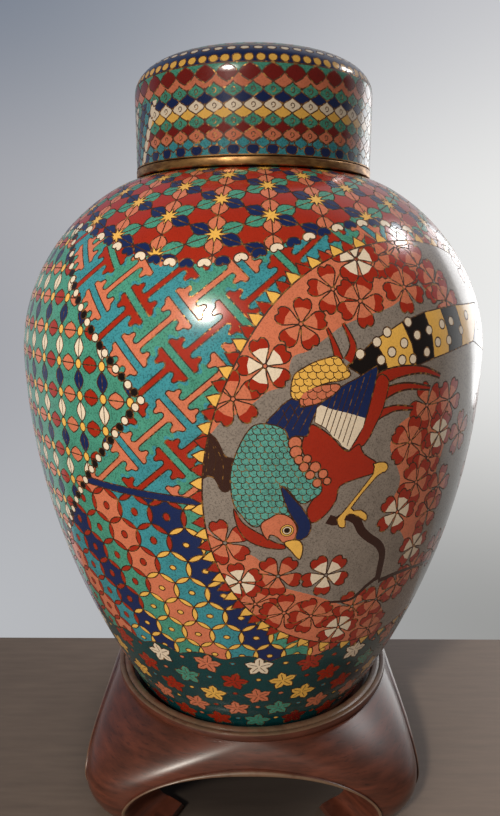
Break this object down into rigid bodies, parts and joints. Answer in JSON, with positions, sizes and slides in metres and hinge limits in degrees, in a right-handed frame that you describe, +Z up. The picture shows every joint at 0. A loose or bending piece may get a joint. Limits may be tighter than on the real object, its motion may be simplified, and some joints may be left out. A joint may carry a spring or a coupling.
{
  "type": "cloisonne ginger jar",
  "caption": "Hollow shouldered jar with a cap lid over its neck, on a low square wooden stand with a ring moulding, arched sides and scrolled feet.",
  "frame": {"origin": "on the floor under the middle of the stand", "axes": "+Z up along the jar's axis, -Y towards the front"},
  "size_m": [0.2, 0.2, 0.3186],
  "materials": {
    "rosewood": "dark red-brown polished hardwood, worn lighter on the beads and the ring",
    "jar_enamel": "polished inlaid enamel in many colours between thin brass wires, with fine pits",
    "lid_enamel": "polished inlaid enamel in many colours between thin brass wires",
    "brass": "worn warm yellow metal with a dull patina"
  },
  "bodies": {
    "root": {"stand": "rosewood", "jar": "jar_enamel", "lid": "lid_enamel", "lid_rim": "brass"}
  },
  "joints": []
}
